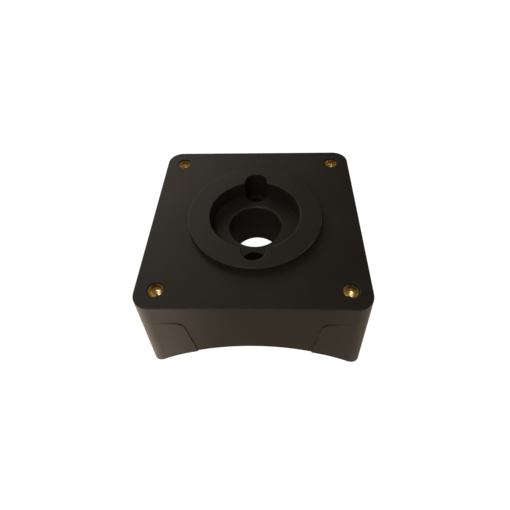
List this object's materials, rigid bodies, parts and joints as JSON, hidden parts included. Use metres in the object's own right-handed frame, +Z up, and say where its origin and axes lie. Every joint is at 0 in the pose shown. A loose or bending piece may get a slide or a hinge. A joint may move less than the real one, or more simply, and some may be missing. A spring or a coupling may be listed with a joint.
{
  "type": "pole mounting block",
  "caption": "Square plastic block with a saddle-shaped underside that sits on a round pole, a recessed locating boss with a cable bore, and threaded brass corner inserts.",
  "frame": {"origin": "centre of the block in plan, at the height of the flats along the bottom of the two legs", "axes": "+Z up out of the boss, +X right across the pole, +Y to the back along the pole's axis, -Y the front face"},
  "size_m": [0.1, 0.1008, 0.053],
  "materials": {
    "black_plastic": "machined near-black engineering plastic, satin",
    "brass": "bright turned brass"
  },
  "bodies": {
    "root": {"block_body": "black_plastic", "insert_front_left": "brass", "insert_front_right": "brass", "insert_back_left": "brass", "insert_back_right": "brass"}
  },
  "joints": []
}
